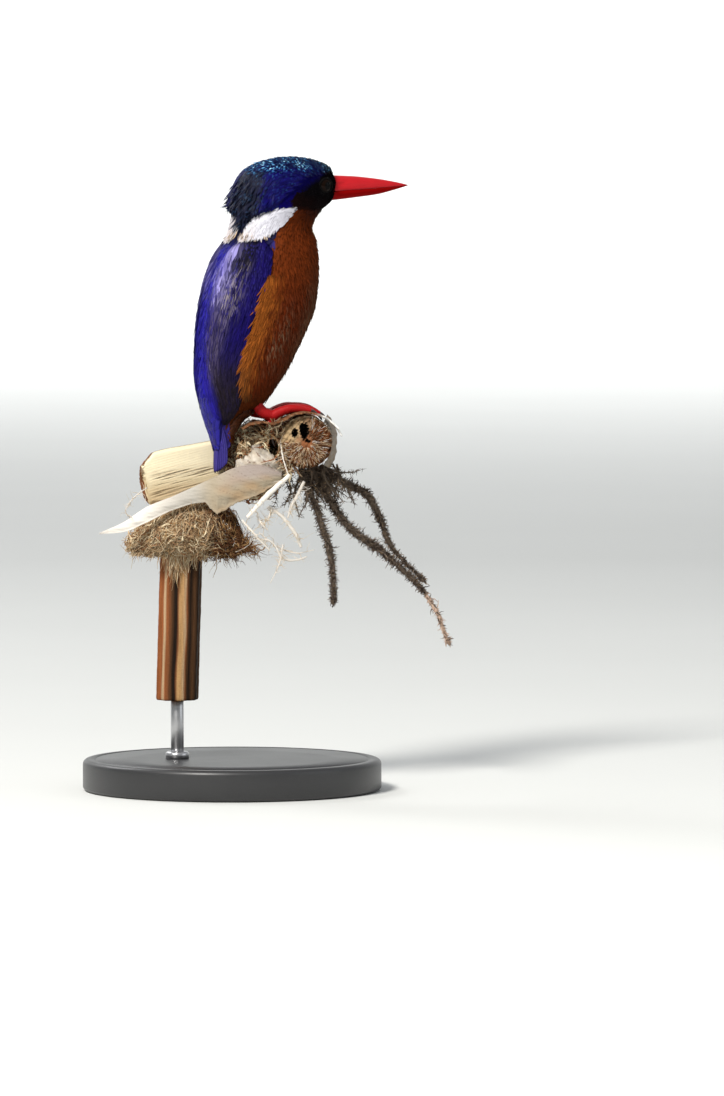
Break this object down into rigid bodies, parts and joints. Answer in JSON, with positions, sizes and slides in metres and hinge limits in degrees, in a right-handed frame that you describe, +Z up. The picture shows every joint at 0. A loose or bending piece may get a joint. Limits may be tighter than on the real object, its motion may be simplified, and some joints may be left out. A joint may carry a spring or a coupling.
{
  "type": "perched kingfisher display model",
  "caption": "Small upright kingfisher with a long straight bill, head turned aside, perched on a broken reed stub above an upright cane, on a round display base.",
  "frame": {"origin": "the middle of the stand base's flat underside", "axes": "+X the way the bird's body faces, +Y the bird's left, +Z up; the bill is turned 15 degrees from +X towards +Y"},
  "size_m": [0.1168, 0.092, 0.1949],
  "materials": {
    "feather_blue": "silky overlapping feathers, ultramarine",
    "feather_crown": "silky narrow feathers, blue barred with black and turquoise",
    "feather_rufous": "soft overlapping feathers, rufous",
    "bill": "smooth satin horn, vermilion",
    "eye": "wet gloss, very dark brown",
    "foot": "scaled skin, vermilion",
    "claw": "smooth dark horn",
    "reed_bark": "ridged dry reed, red brown",
    "reed_pale": "split dry reed, cream",
    "reed_fibre": "tangled dry root fibres",
    "stand_base": "black satin paint",
    "stand_rod": "brushed"
  },
  "bodies": {
    "root": {"trunk": "feather_rufous", "neck": "feather_rufous", "head": "feather_rufous", "crest": "feather_crown", "tail": "feather_blue", "wing_left": "feather_blue", "wing_right": "feather_blue", "bill_upper": "bill", "bill_lower": "bill", "eye_left": "eye", "eye_right": "eye", "leg_left": "foot", "leg_right": "foot", "claw_left_1": "claw", "claw_left_2": "claw", "claw_left_3": "claw", "claw_left_4": "claw", "claw_right_1": "claw", "claw_right_2": "claw", "claw_right_3": "claw", "claw_right_4": "claw", "perch_stub": "reed_bark", "perch_cane": "reed_bark", "perch_culm": "reed_pale", "perch_sheath": "reed_pale", "perch_peg": "reed_pale", "perch_clump": "reed_fibre", "perch_knot": "reed_fibre", "perch_root_a": "reed_fibre", "perch_root_b": "reed_fibre", "perch_root_c": "reed_fibre", "stand_base": "stand_base", "stand_rod": "stand_rod"}
  },
  "joints": []
}
